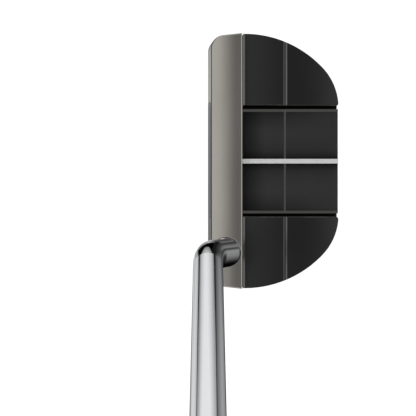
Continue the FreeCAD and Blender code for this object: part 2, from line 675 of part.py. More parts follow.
# ---------------------------------------------------------------- sole
def make_sole_plate():
    """Steel plate under all bodies, flat in the middle and rising toward toe and heel."""
    body = new_body("sole_plate")
    shape = plan(body, "plate_plan", "0")
    heel = rear_corner(1, "dims.plate_inset")
    toe = rear_corner(-1, "dims.plate_inset")
    (start_x, start_y, flank, _), (blend_x, blend_y, tail, _), (end_x, end_y) = toe
    outline(shape, heel + [
        (end_x, end_y, tail, 1),
        (blend_x, blend_y, flank, 1),
        (start_x, start_y),
        ("-dims.plate_front_half", "dims.plate_front"),
        ("dims.plate_front_half", "dims.plate_front"),
    ])
    pad(body, shape, "dims.plate_top")

    relief = front(body, "sole_relief", "60")
    rise = "20 * tan(dims.sole_rise * 1deg)"
    for side in (-1, 1):
        outline(relief, [
            (f"{side} * dims.sole_flat_half", "0"),
            (f"{side} * (dims.sole_flat_half + 20)", rise),
            (f"{side} * (dims.sole_flat_half + 20)", "-1"),
            (f"{side} * dims.sole_flat_half", "-1"),
        ])
    pocket(body, relief, "70", back=True)
    ease(body, "Chamfer", "sole_edge",
         lambda e: e.CenterOfMass.z < 1.2 and e.CenterOfMass.y < 2.2 or
         (e.CenterOfMass.z < 1.2 and e.CenterOfMass.y > 48 and e.Length > 10),
         "dims.sole_break")

    everywhere = BLOCK_SCREWS + DECK_SCREWS + WING_SCREWS
    passes = plan(body, "screw_passes", "0")
    circles(passes, everywhere, "dims.screw_pass")
    pocket(body, passes, "dims.plate_top", back=True)
    access = plan(body, "screw_access", "0")
    circles(access, everywhere, "dims.screw_head")
    pocket(body, access, "dims.screw_sink", back=True)
    sinks = plan(body, "screw_sinks", "dims.screw_sink")
    circles(sinks, everywhere, "dims.screw_head")
    pocket(body, sinks, "(dims.screw_head - dims.screw_pass) / 2", back=True, taper="-45")
    openings = plan(body, "plug_openings", "0")
    circles(openings, pair("dims.plug_x", "dims.plug_y"), "dims.plug_opening")
    pocket(body, openings, "dims.plate_top", back=True)
    return body


def make_sole_screws():
    """Countersunk socket screws that hold the plate to the bodies."""
    everywhere = BLOCK_SCREWS + DECK_SCREWS + WING_SCREWS
    body = new_body("sole_screws", pieces=len(everywhere))
    heads = plan(body, "screw_heads", "dims.screw_sink")
    circles(heads, everywhere, "dims.screw_head")
    pad(body, heads, "(dims.screw_head - dims.screw_shank) / 2", taper="-45")
    shanks = plan(body, "screw_shanks", "dims.screw_sink + 0.5")
    circles(shanks, everywhere, "dims.screw_shank")
    pad(body, shanks, "dims.screw_tip - dims.screw_sink - 0.5")
    keys = plan(body, "screw_keys", "dims.screw_sink")
    hexagons(keys, everywhere, "dims.screw_key")
    pocket(body, keys, "dims.screw_key_deep", back=True)
    return body


def make_joining_screws():
    """Cap screws that draw the wings forward against the gasket and front block."""
    body = new_body("joining_screws", pieces=2)
    shanks = front(body, "bolt_shanks", "dims.bolt_seat")
    circles(shanks, BOLTS, "dims.bolt_shank")
    pad(body, shanks, "dims.bolt_seat - dims.bolt_tip")
    heads = front(body, "bolt_heads", "dims.bolt_seat + dims.bolt_head_long")
    circles(heads, BOLTS, "dims.bolt_head")
    pad(body, heads, "dims.bolt_head_long")
    keys = front(body, "bolt_keys", "dims.bolt_seat + dims.bolt_head_long")
    hexagons(keys, BOLTS, "dims.bolt_key")
    pocket(body, keys, "dims.bolt_head_long / 2", back=True)
    return body


def make_dowel_pins():
    """Four dowels across the seam."""
    body = new_body("dowel_pins", pieces=4)
    ends = front(body, "pin_ends", f"{BODY_FRONT} + dims.pin_reach")
    circles(ends, BLOCK_PINS, "dims.pin_dia")
    pad(body, ends, "2 * dims.pin_reach + dims.seam")
    return body


def make_weight(label, side):
    """Threaded sole weight with a flange and a hexagon socket."""
    body = new_body(label, f"{side} * dims.plug_x", "dims.plug_y")
    section = sketch_on(body, f"{label}_section", "XZ_Plane")
    outline(section, [
        ("0", "dims.plug_face"),
        ("dims.plug_flange / 2 - 0.3", "dims.plug_face"),
        ("dims.plug_flange / 2", "dims.plug_face + 0.3"),
        ("dims.plug_flange / 2", "dims.plug_seat"),
        ("dims.plug_dia / 2", "dims.plug_seat"),
        ("dims.plug_dia / 2", "dims.plug_top - 0.6"),
        ("dims.plug_dia / 2 - 0.6", "dims.plug_top"),
        ("0", "dims.plug_top"),
    ])
    spin(body, "Revolution", section)
    key = plan(body, f"{label}_key", "dims.plug_face")
    hexagons(key, [("0", "0")], "dims.plug_key")
    pocket(body, key, "dims.plug_key_deep", back=True)
    return body


def make_weight_washers():
    """Flat elastomer rings between the weight flanges and the wings."""
    body = new_body("weight_washers", pieces=2)
    rings = plan(body, "washer_rings", "dims.plug_seat")
    circles(rings, pair("dims.plug_x", "dims.plug_y"), "dims.plug_flange")
    circles(rings, pair("dims.plug_x", "dims.plug_y"), "dims.plug_dia")
    pad(body, rings, "dims.plate_top - dims.plug_seat")
    return body


# ---------------------------------------------------------------- shaft seat
def turned(label, corners):
    """Part turned about the upright axis of the shaft bore."""
    body = new_body(label, "dims.shaft_x", "dims.shaft_y")
    section = sketch_on(body, f"{label}_section", "XZ_Plane")
    outline(section, corners)
    spin(body, "Revolution", section)
    return body


def make_shaft_seat():
    """Bond line, ferrule ring and tip plug."""
    turned("shaft_epoxy", [
        ("dims.tip_dia / 2", "dims.tip_foot"),
        ("dims.tip_bore / 2", "dims.tip_foot"),
        ("dims.tip_bore / 2", "dims.shoulder_z"),
        ("dims.tip_dia / 2", "dims.shoulder_z"),
    ])
    turned("ferrule_ring", [
        ("dims.neck_dia / 2", "dims.shoulder_z"),
        ("dims.ferrule_dia / 2", "dims.shoulder_z"),
        ("dims.ferrule_dia / 2", "dims.ferrule_top - 0.25"),
        ("dims.ferrule_dia / 2 - 0.2", "dims.ferrule_top"),
        ("dims.neck_dia / 2", "dims.ferrule_top"),
    ])
    turned("tip_plug", [
        ("0", "dims.tip_foot"),
        ("dims.neck_hollow / 2", "dims.tip_foot"),
        ("dims.neck_hollow / 2", "dims.tip_foot + dims.plug_height - 0.5"),
        ("dims.neck_hollow / 2 - 0.5", "dims.tip_foot + dims.plug_height"),
        ("0", "dims.tip_foot + dims.plug_height"),
    ])


# ---------------------------------------------------------------- shaft
def bend(before, corner, after, radius):
    """Ends and middle of the arc that rounds one corner of the centre line."""
    arrive = (corner - before).normalize()
    leave = (after - corner).normalize()
    turn = math.acos(arrive.dot(leave))
    reach = radius * math.tan(turn / 2)
    inward = (leave - arrive).normalize()
    centre = corner + inward * (radius / math.cos(turn / 2))
    return corner - arrive * reach, centre - inward * radius, corner + leave * reach


def shaft_stations():
    """Corner points of the centre line: tip, first bend, second bend, butt."""
    lean = math.radians(size("dims.lie_lean"))
    x = size("dims.shaft_x")
    tip = V(x, size("dims.shaft_y"), size("dims.tip_foot"))
    first = V(x, size("dims.shaft_y"), size("dims.first_bend_z"))
    second = V(x, 0, size("dims.second_bend_z"))
    along = V(math.sin(lean), 0, math.cos(lean))
    return tip, first, second, second + along * size("dims.shaft_run")


def shaft_core(start_z, neck_radius, butt_radius):
    """Solid that follows the centre line: constant through the bends, then a straight cone."""
    tip, first, second, butt = shaft_stations()
    start = V(tip.x, tip.y, start_z)
    low_in, low_mid, low_out = bend(start, first, second, size("dims.first_bend_r"))
    high_in, high_mid, high_out = bend(first, second, butt, size("dims.second_bend_r"))
    line = Part.Wire([
        Part.makeLine(start, low_in),
        Part.Arc(low_in, low_mid, low_out).toShape(),
        Part.makeLine(low_out, high_in),
        Part.Arc(high_in, high_mid, high_out).toShape(),
    ])
    ring = Part.Wire([Part.makeCircle(neck_radius, start, V(0, 0, 1))])
    neck = line.makePipeShell([ring], True, False)
    run = butt - high_out
    cone = Part.makeCone(neck_radius, butt_radius, run.Length, high_out, run)
    return neck.fuse(cone)


def make_shaft():
    """Double-bend stepless tube with a turned-down spigot at the tip."""
    shoulder = size("dims.shoulder_z")
    foot = size("dims.tip_foot")
    tip = shaft_stations()[0]
    outside = shaft_core(shoulder, size("dims.neck_dia") / 2, size("dims.butt_dia") / 2)
    spigot = Part.makeCylinder(size("dims.tip_dia") / 2, shoulder - foot, tip)
    hollow = shaft_core(foot, size("dims.neck_hollow") / 2, size("dims.butt_hollow") / 2)
    tube = outside.fuse(spigot).cut(hollow).removeSplitter()
    shaft = doc.addObject("Part::Feature", "shaft")
    shaft.Label = "shaft"
    shaft.Shape = tube.Solids[0]
    shaft.Placement = FreeCAD.Placement(V(0, -size("dims.origin_back"), 0),
                                        FreeCAD.Rotation())
    PARTS.append((shaft, 1))
    return shaft


# ---------------------------------------------------------------- grip
def on_shaft(label):
    """Body whose upright axis is the straight part of the shaft, from the second bend up."""
    body = new_body(label, "dims.shaft_x", "0")
    body.setExpression("Placement.Base.z", "dims.second_bend_z * 1mm")
    body.Placement.Rotation = FreeCAD.Rotation(V(0, 1, 0), size("dims.lie_lean"))
    return body


def shaft_radius(distance):
    """Outside radius of the straight shaft at a distance above the second bend."""
    start = f"dims.second_bend_r * tan({HALF_TURN})"
    grow = "(dims.butt_dia - dims.neck_dia) / 2"
    return (f"dims.neck_dia / 2 + {grow} * (({distance}) - {start})"
            f" / (dims.shaft_run - {start})")


def grip_ring(body, name, station, height, inset):
    """Flat-fronted section with rounded corners, drawn in from a station by an inset."""
    radius = f"(dims.grip_radius_{station} - {inset})"
    flat = f"(dims.grip_flat_{station} - {inset})"
    shift = f"dims.grip_shift_{station}"
    corner = "dims.grip_corner"
    half = f"sqrt(({radius} - {corner})^2 - ({shift} + {flat} - {corner})^2)"
    scale = f"{radius} / ({radius} - {corner})"
    back_x = f"{shift} - ({shift} + {flat} - {corner}) * {scale}"
    back_y = f"{half} * {scale}"
    ring = sketch_on(body, name, "XY_Plane", height)
    outline(ring, [
        (f"-{flat}", half),
        (f"-{flat}", f"-{half}", corner, 1),
        (back_x, f"-({back_y})", radius, 1),
        (f"{shift} + {radius}", "0", radius, 1),
        (back_x, back_y, corner, 1),
    ])
    return ring


def rings_to_loft(body, name, rings, ruled=False):
    """Solid through a row of sections."""
    loft = body.newObject("PartDesign::AdditiveLoft", name)
    loft.Profile = rings[0]
    loft.Sections = rings[1:]
    loft.Ruled = ruled
    doc.recompute()
    return loft


def make_grip():
    """Tape and flat-fronted rubber grip over the upper end of the shaft."""
    low = "dims.shaft_run - dims.grip_long"
    high = "dims.shaft_run"
    tape = on_shaft("grip_tape")
    section = sketch_on(tape, "tape_section", "XZ_Plane")
    outline(section, [
        (shaft_radius(low), low),
        (f"{shaft_radius(low)} + dims.tape_thick", low),
        (f"{shaft_radius(high)} + dims.tape_thick", high),
        (shaft_radius(high), high),
    ])
    spin(tape, "Revolution", section)

    grip = on_shaft("grip")
    rings = [grip_ring(grip, f"grip_ring_{n}", n, f"{low} + dims.grip_rise_{n}", "0")
             for n in range(5)]
    rings_to_loft(grip, "grip_form", rings)
    end_rings = [grip_ring(grip, "grip_end_low", 4, high, "0"),
                 grip_ring(grip, "grip_end_mid", 4,
                           f"{high} + dims.grip_cap - dims.grip_cap_round", "0.3"),
                 grip_ring(grip, "grip_end_high", 4, f"{high} + dims.grip_cap",
                           "dims.grip_cap_round")]
    rings_to_loft(grip, "grip_end", end_rings, ruled=True)
    hollow = sketch_on(grip, "grip_hollow", "XZ_Plane")
    outline(hollow, [
        ("0", f"{low} - 1"),
        (f"{shaft_radius(low)} + dims.tape_thick", f"{low} - 1"),
        (f"{shaft_radius(low)} + dims.tape_thick", low),
        (f"{shaft_radius(high)} + dims.tape_thick", high),
        ("0", high),
    ])
    spin(grip, "Groove", hollow)
    vent = sketch_on(grip, "grip_vent_hole", "XY_Plane", high)
    circles(vent, [("0", "0")], "dims.grip_vent")
    pocket(grip, vent, "dims.grip_cap + 2", back=True)
    return grip


make_face_block()
make_insert()
make_wing("toe_wing", -1)
make_wing("heel_wing", 1)
make_deck()
make_sight_line()
make_gasket()
make_sole_plate()
make_sole_screws()
make_joining_screws()
make_dowel_pins()
make_weight("toe_weight", -1)
make_weight("heel_weight", 1)
make_weight_washers()
make_shaft_seat()
make_shaft()
make_grip()
doc.recompute()

# ---------------------------------------------------------------- checks and export
for item in doc.Objects:
    if "Invalid" in item.State or "Error" in item.State:
        raise RuntimeError(f"{item.Label}: {item.State}")
    if item.TypeId in ("PartDesign::Pocket", "PartDesign::Groove"):
        if item.Shape.Volume > item.BaseFeature.Shape.Volume - 1e-3:
            raise RuntimeError(f"{item.Label} removes nothing")

for part, pieces in PARTS:
    shape = part.Shape
    if shape.isNull() or not shape.isValid() or len(shape.Solids) != pieces:
        raise RuntimeError(f"{part.Label}: {len(shape.Solids)} solids, {pieces} expected")

os.makedirs("parts", exist_ok=True)
for part, pieces in PARTS:
    part.Shape.exportStep(f"parts/{part.Label}.step")
    print(part.Label, pieces, round(part.Shape.Volume), part.Shape.BoundBox)
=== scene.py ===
import json
import math

import bpy
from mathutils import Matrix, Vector


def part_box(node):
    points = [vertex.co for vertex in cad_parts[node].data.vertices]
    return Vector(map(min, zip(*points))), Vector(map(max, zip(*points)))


# Looks of the mallet putter.  Frame of the CAD: metres, +Z up, face toward -Y, toe on -X.

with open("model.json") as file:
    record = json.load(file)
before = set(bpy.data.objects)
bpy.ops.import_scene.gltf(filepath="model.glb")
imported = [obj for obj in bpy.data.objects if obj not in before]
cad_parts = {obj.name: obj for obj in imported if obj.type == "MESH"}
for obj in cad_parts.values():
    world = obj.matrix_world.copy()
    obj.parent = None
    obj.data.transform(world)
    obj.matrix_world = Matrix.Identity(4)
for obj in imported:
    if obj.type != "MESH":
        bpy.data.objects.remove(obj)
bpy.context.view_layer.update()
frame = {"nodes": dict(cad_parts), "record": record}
nodes = frame["nodes"]
scene = bpy.context.scene

# ------------------------------------------------------------------ places taken from the CAD
mounts = {m["name"]: m for m in frame["record"]["mounts"]}
BORE = Vector(mounts["neck"]["pos_m"])
FACE_SETBACK = 0.0018
FACE_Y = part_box("sole_plate")[0].y - FACE_SETBACK
EYE_HEIGHT = 0.954
EYE_ASIDE = 0.01806
LENS_MM = 209.9
SENSOR_MM = 36.0

# Marks of the tools that made the metal parts, in metres.
BORE_RING_PITCH = 0.00055
BORE_RING_DEPTH = 0.0000022
BORE_RINGS_FULL = 0.0065
BORE_RINGS_GONE = 0.0105
LATHE_RING_PITCH = 0.0005
LATHE_RING_DEPTH = 0.000006
# Black anodising: how far the painted shade in its corners reaches, how fast it deepens, and the
# slopes that get a painted highlight.
PAINTED_SHADE_REACH = 0.0095
PAINTED_SHADE_POWER = 2.2
STEEP_SLOPE = (0.5, 0.86)
FACING_SLOPE = -0.2


# ------------------------------------------------------------------ node helpers
class Shader:
    """Small wrapper that builds one procedural material."""

    def __init__(self, name):
        self.material = bpy.data.materials.new(name)
        self.material.use_nodes = True
        self.tree = self.material.node_tree
        self.tree.nodes.clear()
        self.out = self.add("ShaderNodeOutputMaterial")
        self.surface = self.add("ShaderNodeBsdfPrincipled")
        self.link(self.surface, "BSDF", self.out, "Surface")
        self.coords = self.add("ShaderNodeTexCoord")
        self.heights = []

    def add(self, kind, **settings):
        node = self.tree.nodes.new(kind)
        for key, value in settings.items():
            setattr(node, key, value)
        return node

    def link(self, a, out, b, into):
        self.tree.links.new(a.outputs[out], b.inputs[into])

    def set(self, **values):
        for key, value in values.items():
            self.surface.inputs[key.replace("_", " ")].default_value = value

    def stretched(self, scale):
        """Object coordinates multiplied by a different factor along each axis."""
        mapping = self.add("ShaderNodeMapping")
        mapping.inputs["Scale"].default_value = scale
        self.link(self.coords, "Object", mapping, "Vector")
        return mapping

    def noise(self, scale, stretch=(1, 1, 1), detail=3.0, rough=0.55):
        node = self.add("ShaderNodeTexNoise")
        node.inputs["Scale"].default_value = scale
        node.inputs["Detail"].default_value = detail
        node.inputs["Roughness"].default_value = rough
        self.link(self.stretched(stretch), "Vector", node, "Vector")
        return node

    def ramp(self, source, out, stops):
        node = self.add("ShaderNodeValToRGB")
        elements = node.color_ramp.elements
        while len(elements) < len(stops):
            elements.new(0.5)
        for element, (place, colour) in zip(elements, stops):
            element.position = place
            element.color = (*colour, 1.0)
        self.link(source, out, node, "Fac")
        return node

    def between(self, source, out, low, high):
        """Source remapped from 0..1 to low..high."""
        node = self.add("ShaderNodeMapRange")
        node.inputs["To Min"].default_value = low
        node.inputs["To Max"].default_value = high
        self.link(source, out, node, "Value")
        return node

    def math(self, operation, a, b=None):
        node = self.add("ShaderNodeMath", operation=operation)
        for index, value in enumerate((a, b)):
            if value is None:
                continue
            if isinstance(value, tuple):
                self.tree.links.new(value[0].outputs[value[1]], node.inputs[index])
            else:
                node.inputs[index].default_value = value
        return node

    def mix(self, factor, first, second):
        """Colour mixed from first to second; each is a colour or a (node, output)."""
        node = self.add("ShaderNodeMix", data_type="RGBA")
        self.tree.links.new(factor[0].outputs[factor[1]], node.inputs[0])
        for index, value in ((6, first), (7, second)):
            if isinstance(value[0], bpy.types.Node):
                self.tree.links.new(value[0].outputs[value[1]], node.inputs[index])
            else:
                node.inputs[index].default_value = (*value, 1.0)
        return node

    def distance_from(self, axis):
        """Distance from an upright axis through a point."""
        shift = self.add("ShaderNodeVectorMath", operation="SUBTRACT")
        self.link(self.coords, "Object", shift, 0)
        shift.inputs[1].default_value = axis
        flat = self.add("ShaderNodeVectorMath", operation="MULTIPLY")
        self.link(shift, "Vector", flat, 0)
        flat.inputs[1].default_value = (1.0, 1.0, 0.0)
        reach = self.add("ShaderNodeVectorMath", operation="LENGTH")
        self.link(flat, "Vector", reach, 0)
        return reach

    def turned_rings(self, reach, pitch):
        """Rings left by a cutter, one to each pitch of distance from the axis."""
        scaled = self.math("MULTIPLY", (reach, "Value"), 2 * math.pi / pitch)
        return self.math("SINE", (scaled, "Value"))

    def relief(self, source, out, depth):
        """Adds a bump, depth in metres, on top of the ones already there."""
        bump = self.add("ShaderNodeBump")
        bump.inputs["Strength"].default_value = 1.0
        bump.inputs["Distance"].default_value = depth
        self.link(source, out, bump, "Height")
        if self.heights:
            self.link(self.heights[-1], "Normal", bump, "Normal")
        self.heights.append(bump)
        return bump

    def done(self):
        if self.heights:
            self.link(self.heights[-1], "Normal", self.surface, "Normal")
        return self.material


def slope_masks(shader):
    """Masks for painted highlights: white on slopes of about 45 degrees; white on every bevel that
    faces the hitting face.
    """
    geometry = shader.add("ShaderNodeNewGeometry")
    split = shader.add("ShaderNodeSeparateXYZ")
    shader.link(geometry, "True Normal", split, "Vector")
    raised = shader.math("GREATER_THAN", (split, "Z"), STEEP_SLOPE[0])
    tilted = shader.math("LESS_THAN", (split, "Z"), STEEP_SLOPE[1])
    forward = shader.math("LESS_THAN", (split, "Y"), FACING_SLOPE)
    steep = shader.math("MULTIPLY", (raised, "Value"), (tilted, "Value"))
    facing = shader.math("MULTIPLY", (raised, "Value"), (forward, "Value"))
    return steep, facing


# ------------------------------------------------------------------ materials
def pewter():
    """Satin pewter coating, brushed heel to toe, with turned marks round the shaft bore."""
    s = Shader("pewter_satin")
    tone = s.noise(26.0, (1, 3, 3), 4.0)
    colour = s.ramp(tone, "Fac", [(0.3, (0.415, 0.395, 0.36)), (0.7, (0.455, 0.435, 0.40))])
    s.link(colour, "Color", s.surface, "Base Color")
    grain = s.noise(1400.0, (0.02, 1, 1), 3.0)
    rough = s.between(grain, "Fac", 0.15, 0.23)
    s.link(rough, "Result", s.surface, "Roughness")
    s.relief(grain, "Fac", 0.0000025)
    reach = s.distance_from((BORE.x, BORE.y, 0.0))
    waves = s.turned_rings(reach, BORE_RING_PITCH)
    fade = s.add("ShaderNodeMapRange")
    fade.inputs["From Min"].default_value = BORE_RINGS_FULL
    fade.inputs["From Max"].default_value = BORE_RINGS_GONE
    fade.inputs["To Min"].default_value = 1.0
    fade.inputs["To Max"].default_value = 0.0
    s.link(reach, "Value", fade, "Value")
    rings = s.math("MULTIPLY", (waves, "Value"), (fade, "Result"))
    s.relief(rings, "Value", BORE_RING_DEPTH)
    s.set(Metallic=1.0, Specular_Tint=(0.6, 0.6, 0.57, 1.0))
    return s.done()


def black_anodised():
    """Bead-blasted black anodising, with painted shade in corners and painted highlights on slopes
    and machined bevels.
    """
    s = Shader("anodised_black")
    patches = s.noise(45.0, detail=4.0)
    coat = s.ramp(patches, "Fac", [(0.3, (0.054, 0.054, 0.055)), (0.75, (0.063, 0.063, 0.063))])
    # Painted shade: the coat's colour is darkened toward black in corners and recesses, by how
    # closed in each point is.
    corner_occlusion = s.add("ShaderNodeAmbientOcclusion", samples=8)
    corner_occlusion.inputs["Distance"].default_value = PAINTED_SHADE_REACH
    depth = s.math("POWER", (corner_occlusion, "AO"), PAINTED_SHADE_POWER)
    shaded = s.mix((depth, "Value"), (0.002, 0.002, 0.002), (coat, "Color"))
    # Painted highlights: slopes of about 45 degrees get a lighter colour, and bevels that face the
    # hitting face about two and a half times the coat's.
    steep, facing = slope_masks(s)
    # shaded holds the coat with its painted corner shade.
    slope_highlight = s.mix((steep, "Value"), (shaded, 2), (0.074, 0.074, 0.070))
    bevel_highlight = s.mix((facing, "Value"), (slope_highlight, 2), (0.150, 0.150, 0.144))
    s.link(bevel_highlight, 2, s.surface, "Base Color")
    blast = s.noise(5200.0, detail=2.0)
    rough = s.between(blast, "Fac", 0.20, 0.28)
    s.link(rough, "Result", s.surface, "Roughness")
    s.relief(blast, "Fac", 0.000003)
    s.set(Metallic=1.0, Specular_Tint=(0.3, 0.3, 0.3, 1.0))
    return s.done()


def sight_white():
    """Semi-gloss white moulding with a faint mottling."""
    s = Shader("sight_white")
    tone = s.noise(300.0, detail=3.0)
    colour = s.ramp(tone, "Fac", [(0.3, (0.87, 0.87, 0.87)), (0.7, (0.92, 0.92, 0.915))])
    s.link(colour, "Color", s.surface, "Base Color")
    s.relief(s.noise(1500.0), "Fac", 0.000006)
    s.set(Roughness=0.4)
    return s.done()


def insert_polymer():
    """Slate grey elastomer with a fine moulded texture."""
    s = Shader("insert_polymer")
    tone = s.noise(120.0, detail=4.0)
    colour = s.ramp(tone, "Fac", [(0.3, (0.10, 0.115, 0.13)), (0.7, (0.13, 0.145, 0.165))])
    s.link(colour, "Color", s.surface, "Base Color")
    cells = s.add("ShaderNodeTexVoronoi")
    cells.inputs["Scale"].default_value = 1600.0
    s.link(s.coords, "Object", cells, "Vector")
    s.relief(cells, "Distance", 0.00002)
    s.set(Roughness=0.42)
    return s.done()


def chrome():
    """Bright plating with light wipe marks along the tube."""
    s = Shader("bright_chrome")
    wipe = s.noise(60.0, (1, 1, 0.15), 4.0)
    rough = s.between(wipe, "Fac", 0.025, 0.085)
    s.link(rough, "Result", s.surface, "Roughness")
    colour = s.ramp(wipe, "Fac", [(0.2, (0.74, 0.75, 0.77)), (0.8, (0.79, 0.80, 0.82))])
    s.link(colour, "Color", s.surface, "Base Color")
    s.relief(s.noise(700.0, (1, 1, 0.05)), "Fac", 0.0000012)
    s.set(Metallic=1.0)
    return s.done()


def rubber(name="grip_rubber", dimples=True):
    """Matt black rubber, with small moulded dimples where a hand holds it."""
    s = Shader(name)
    dust = s.noise(35.0, detail=6.0)
    colour = s.ramp(dust, "Fac", [(0.35, (0.018, 0.018, 0.019)), (0.8, (0.036, 0.036, 0.037))])
    s.link(colour, "Color", s.surface, "Base Color")
    if dimples:
        cells = s.add("ShaderNodeTexVoronoi")
        cells.inputs["Scale"].default_value = 420.0
        cells.inputs["Randomness"].default_value = 0.15
        s.link(s.coords, "Object", cells, "Vector")
        dimple = s.add("ShaderNodeMapRange")
        dimple.inputs["From Max"].default_value = 0.35
        s.link(cells, "Distance", dimple, "Value")
        s.relief(dimple, "Result", 0.00022)
    s.relief(s.noise(3000.0), "Fac", 0.00002)
    s.set(Roughness=0.68)
    return s.done()


def metal(name, base, rough, grain=(1, 1, 1), scale=500.0, turned_at=None):
    """Plain machined metal; turned_at adds the rings left by a lathe."""
    s = Shader(name)
    tone = s.noise(scale, grain, 4.0)
    colour = s.ramp(tone, "Fac", [(0.25, tuple(c * 0.85 for c in base)), (0.75, base)])
    s.link(colour, "Color", s.surface, "Base Color")
    span = s.between(tone, "Fac", rough * 0.8, rough * 1.25)
    s.link(span, "Result", s.surface, "Roughness")
    s.relief(tone, "Fac", 0.000008)
    if turned_at is not None:
        rings = s.turned_rings(s.distance_from(turned_at), LATHE_RING_PITCH)
        s.relief(rings, "Value", LATHE_RING_DEPTH)
    s.set(Metallic=1.0)
    return s.done()


def dull(name, base, rough, scale=200.0):
    """Plain plastic, adhesive or paper with a mottled tone."""
    s = Shader(name)
    tone = s.noise(scale, detail=4.0)
    colour = s.ramp(tone, "Fac", [(0.3, tuple(c * 0.8 for c in base)), (0.7, base)])
    s.link(colour, "Color", s.surface, "Base Color")
    s.relief(tone, "Fac", 0.00002)
    s.set(Roughness=rough)
    return s.done()


def centre(name):
    low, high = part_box(name)
    return tuple((low + high) / 2)


LOOKS = {
    "face_block": pewter(),
    "face_insert": insert_polymer(),
    "insert_core": metal("plate_aluminium", (0.60, 0.60, 0.62), 0.4),
    "insert_tape": dull("adhesive_film", (0.55, 0.52, 0.45), 0.6),
    "sight_line": sight_white(),
    "damping_gasket": rubber("gasket_rubber", dimples=False),
    "weight_washers": rubber("washer_rubber", dimples=False),
    "shaft": chrome(),
    "ferrule_ring": dull("ferrule_satin", (0.008, 0.008, 0.008), 0.55),
    "shaft_epoxy": dull("epoxy", (0.45, 0.40, 0.28), 0.35),
    "tip_plug": dull("cork_plug", (0.42, 0.32, 0.22), 0.8),
    "grip_tape": dull("paper_tape", (0.75, 0.72, 0.62), 0.8),
    "grip": rubber(),
    "dowel_pins": metal("ground_pin", (0.60, 0.60, 0.61), 0.2),
    "toe_weight": metal("turned_steel_toe", (0.52, 0.51, 0.50), 0.3,
                        turned_at=centre("toe_weight")),
    "heel_weight": metal("turned_steel_heel", (0.52, 0.51, 0.50), 0.3,
                         turned_at=centre("heel_weight")),
}
black = black_anodised()
for name in ("centre_deck", "toe_wing", "heel_wing"):
    LOOKS[name] = black
LOOKS["sole_plate"] = metal("dark_sole", (0.10, 0.10, 0.105), 0.38, (0.03, 1, 1), 800.0)
oxide = metal("black_oxide", (0.12, 0.12, 0.125), 0.35)
for name in ("sole_screws", "joining_screws"):
    LOOKS[name] = oxide

for name, node in nodes.items():
    node.data.materials.clear()
    node.data.materials.append(LOOKS[name])
    node.visible_glossy = name in ("shaft", "grip")


# ------------------------------------------------------------------ studio
FLOOR_SIZE = 120.0
FLOOR_GLOW = 0.86
BACKDROP_RADIUS = 50.0


def emitter(name, colour, strength):
    material = bpy.data.materials.new(name)
    material.use_nodes = True
    tree = material.node_tree
    tree.nodes.clear()
    glow = tree.nodes.new("ShaderNodeEmission")
    glow.inputs["Color"].default_value = (*colour, 1.0)
    glow.inputs["Strength"].default_value = strength
    out = tree.nodes.new("ShaderNodeOutputMaterial")
    tree.links.new(glow.outputs[0], out.inputs["Surface"])
    return material


def pale_floor():
    """White sheet that is partly lit from behind, so shadows on it stay faint."""
    bpy.ops.mesh.primitive_plane_add(size=FLOOR_SIZE, location=(0, 0, 0))
    floor = bpy.context.object
    floor.name = "floor"
    material = bpy.data.materials.new("floor_white")
    material.use_nodes = True
    surface = material.node_tree.nodes["Principled BSDF"]
    surface.inputs["Base Color"].default_value = (0.55, 0.55, 0.55, 1.0)
    surface.inputs["Roughness"].default_value = 0.9
    surface.inputs["Specular IOR Level"].default_value = 0.0
    surface.inputs["Emission Color"].default_value = (1.0, 1.0, 1.0, 1.0)
    surface.inputs["Emission Strength"].default_value = FLOOR_GLOW
    floor.data.materials.append(material)
    floor.visible_glossy = False


def backdrop():
    """White surround that only the camera sees."""
    bpy.ops.mesh.primitive_uv_sphere_add(radius=BACKDROP_RADIUS, segments=48, ring_count=24)
    dome = bpy.context.object
    dome.name = "backdrop"
    dome.data.materials.append(emitter("backdrop_white", (1.0, 1.0, 1.0), 1.0))
    dome.visible_glossy = False
    dome.visible_diffuse = False
    dome.visible_shadow = False
    dome.visible_transmission = False


# The surround is the studio that the metal mirrors.  Its levels are given direction by
# direction.  Above the horizon the light changes from the face side (-1) over the zenith (0) to
# the tail side (+1), and it has one even level toward the toe and the heel.
OVERHEAD = (
    (-1.00, 0.06), (-0.74, 0.05), (-0.60, 0.84), (-0.38, 0.86), (-0.17, 0.74),
    (0.06, 0.50), (0.22, 0.34), (0.32, 0.27), (0.44, 0.225), (0.52, 0.25), (0.60, 0.35),
    (0.66, 0.50), (0.72, 0.66), (0.80, 0.85), (1.00, 0.90),
)
SIDE_LEVEL = 0.85
SIDE_STEP = (0.45, 0.80)
HORIZON_STEP = (-0.60, -0.35)

# Below the horizon there is a bright panel toward the toe with a dark frame, and a soft gradient
# round it.  Bearings are degrees from the toe direction toward the tail, dips are degrees above
# the horizon (so negative), and a step is the pair of values between which something changes.
# Brightness of the panel at each bearing.
PANEL = (
    (-60, 1.15), (-33, 0.99), (-22, 0.95), (-2, 0.96), (6, 0.97), (10, 1.01), (18, 1.09),
    (24, 1.25), (60, 1.30),
)
# Depth of the panel's lower edge below the horizon, in hundreds of degrees, at each bearing.
PANEL_FOOT = (
    (-180, 0.20), (-60, 0.38), (-50, 0.51), (-44, 0.563), (-40.5, 0.570), (-37, 0.569),
    (-33, 0.574), (-29, 0.596), (-24, 0.609), (-16, 0.623), (-8, 0.624), (0, 0.612),
    (5, 0.597), (10, 0.580), (15, 0.563), (19, 0.550), (23, 0.534), (27, 0.533), (31, 0.532),
    (36, 0.500), (50, 0.380), (180, 0.20),
)
# Brightness inside the panel against the distance from its lower edge, in degrees.
PANEL_DEPTH = (
    (-40, 1.00), (-13.5, 1.00), (-9, 0.72), (-6.4, 0.56), (-5, 0.48), (-3.3, 0.36), (-1.5, 0.25),
    (0, 0.12), (40, 0.12),
)
# The panel's lower edge: how soft it is, and the black line that frames it.
EDGE_STEP = (-0.3, 0.3)
FRAME_STEP = (0.5, 1.8)
